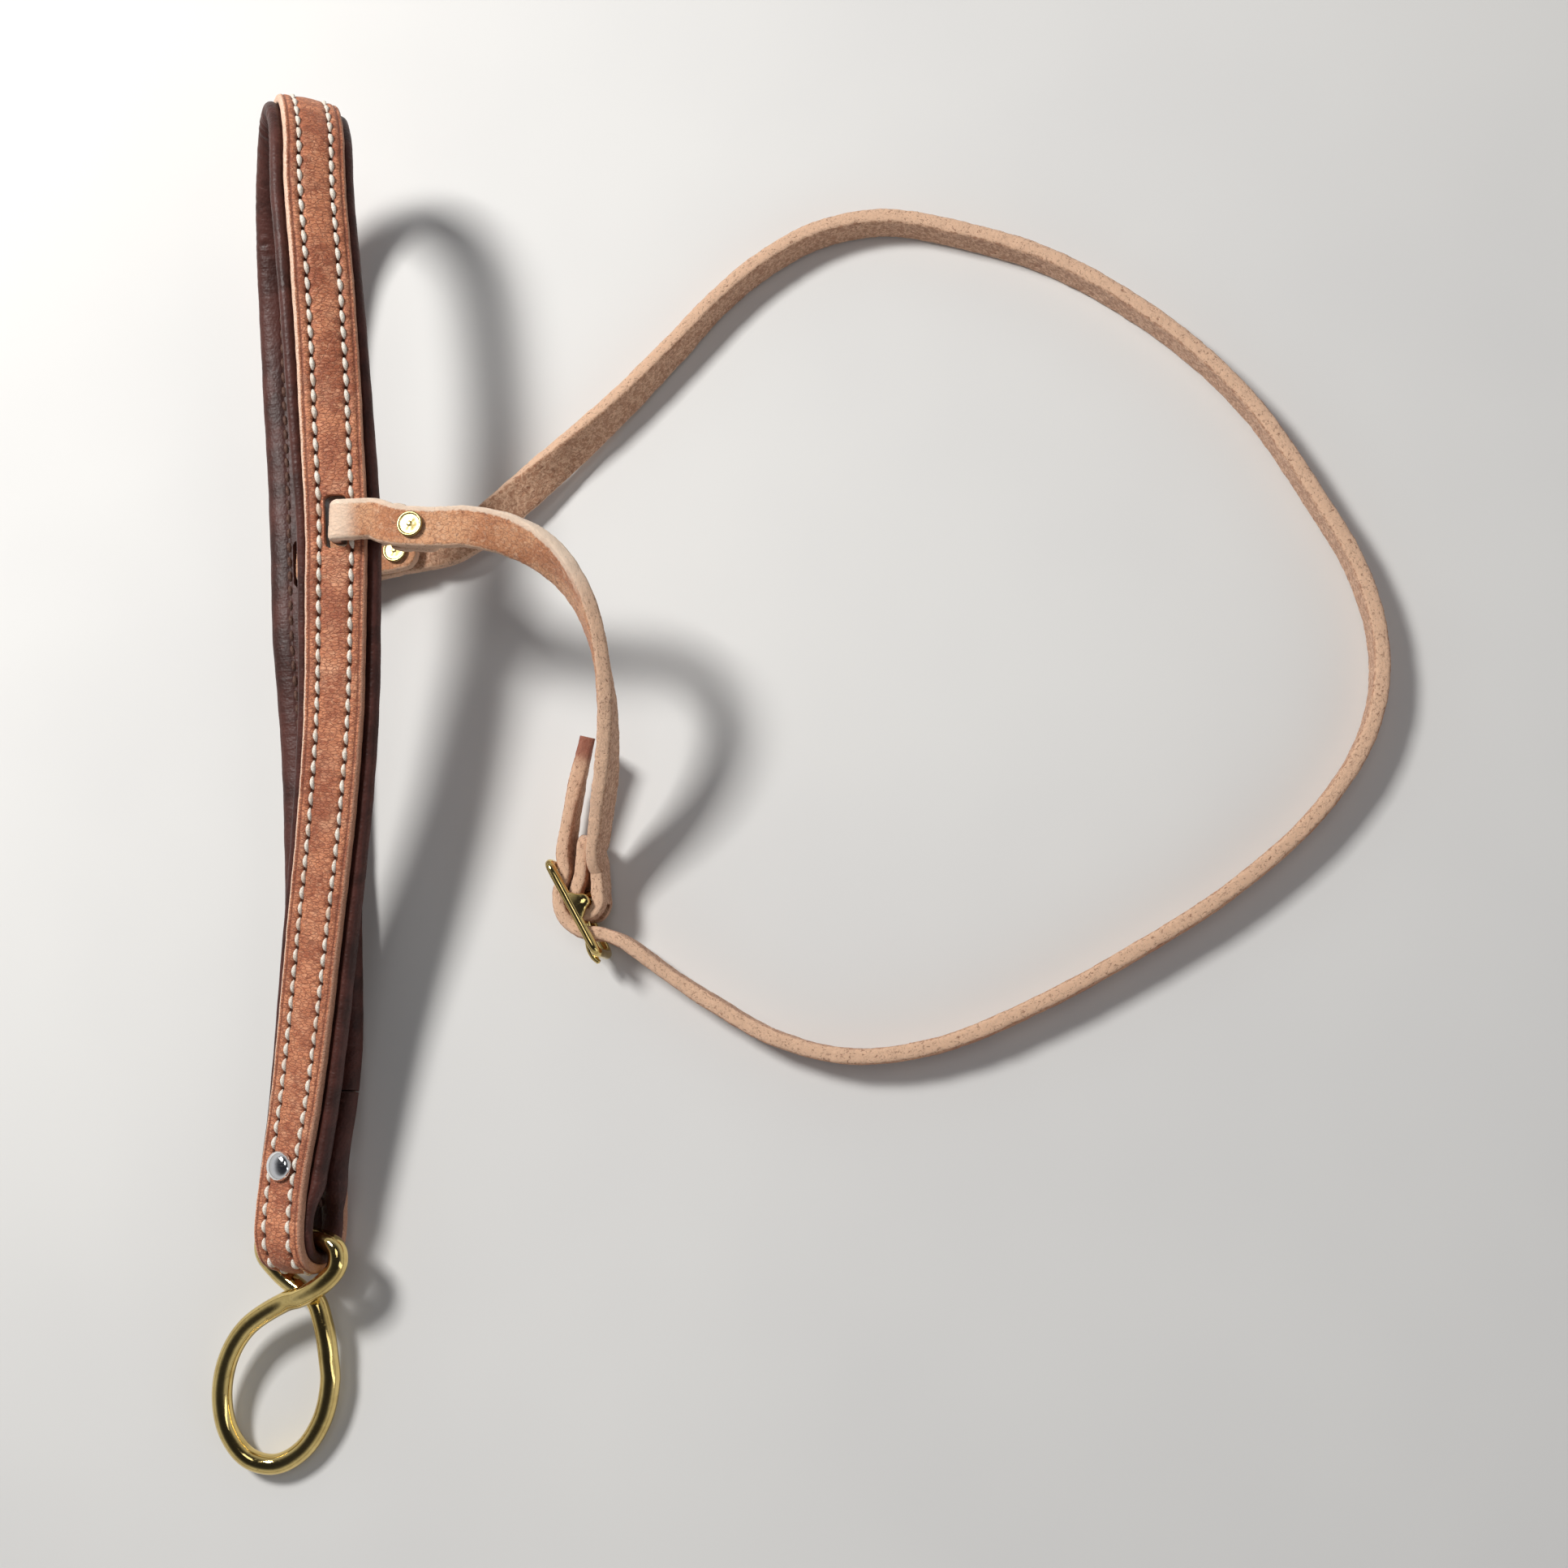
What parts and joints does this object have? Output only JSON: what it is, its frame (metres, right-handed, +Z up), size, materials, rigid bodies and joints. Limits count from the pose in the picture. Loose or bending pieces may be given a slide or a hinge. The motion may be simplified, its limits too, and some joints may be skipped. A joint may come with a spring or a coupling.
{
  "type": "martingale tie-down noseband with hanger",
  "caption": "Western tie-down noseband: padded, lined and stitched leather loop on a twisted ring, with a narrow adjustable hanger headstall.",
  "frame": {"origin": "on the floor under the middle of the whole laid-out object", "axes": "+Y along the noseband from its ring end to its nose end, +X towards the hanger, +Z up"},
  "size_m": [0.3734, 0.4422, 0.0786],
  "materials": {
    "harness_leather": "oiled harness leather, fine grain, bevelled pale edges",
    "lining_leather": "soft dark chocolate leather, rolled over padding",
    "hanger_leather": "natural russet strap leather with fuzzy flesh side",
    "padding": "grey felt",
    "thread": "off-white waxed thread",
    "brass": "polished brass",
    "nickel": "polished nickel plate"
  },
  "bodies": {
    "noseband": {"noseband_strap": "harness_leather", "noseband_lining": "lining_leather", "noseband_padding": "padding", "stitch_thread_outer": "thread", "stitch_thread_inner": "thread", "noseband_post": "nickel", "noseband_screw": "nickel"},
    "ring": {"tie_down_ring": "brass"},
    "hanger": {"cheek_strap": "hanger_leather", "crown_strap": "hanger_leather", "cheek_post": "brass", "cheek_screw": "brass", "crown_post": "brass", "crown_screw": "brass", "buckle_frame": "brass"},
    "tongue": {"buckle_tongue": "brass"}
  },
  "joints": [
    {"name": "ring_swing", "type": "hinge", "parent": "noseband", "child": "ring", "pos_m": [-0.15678, -0.14614, 0.0143], "axis": [0.9397, 0, 0.342], "range_deg": [-65, 5]},
    {"name": "hanger_swing", "type": "hinge", "parent": "noseband", "child": "hanger", "pos_m": [-0.15003, 0.07487, 0.0345], "axis": [0, 0, 1], "range_deg": [-4, 4]},
    {"name": "tongue_lift", "type": "hinge", "parent": "hanger", "child": "tongue", "pos_m": [-0.0653, -0.04067, 0.01005], "axis": [0, 0, 1], "range_deg": [-8, 0]}
  ]
}
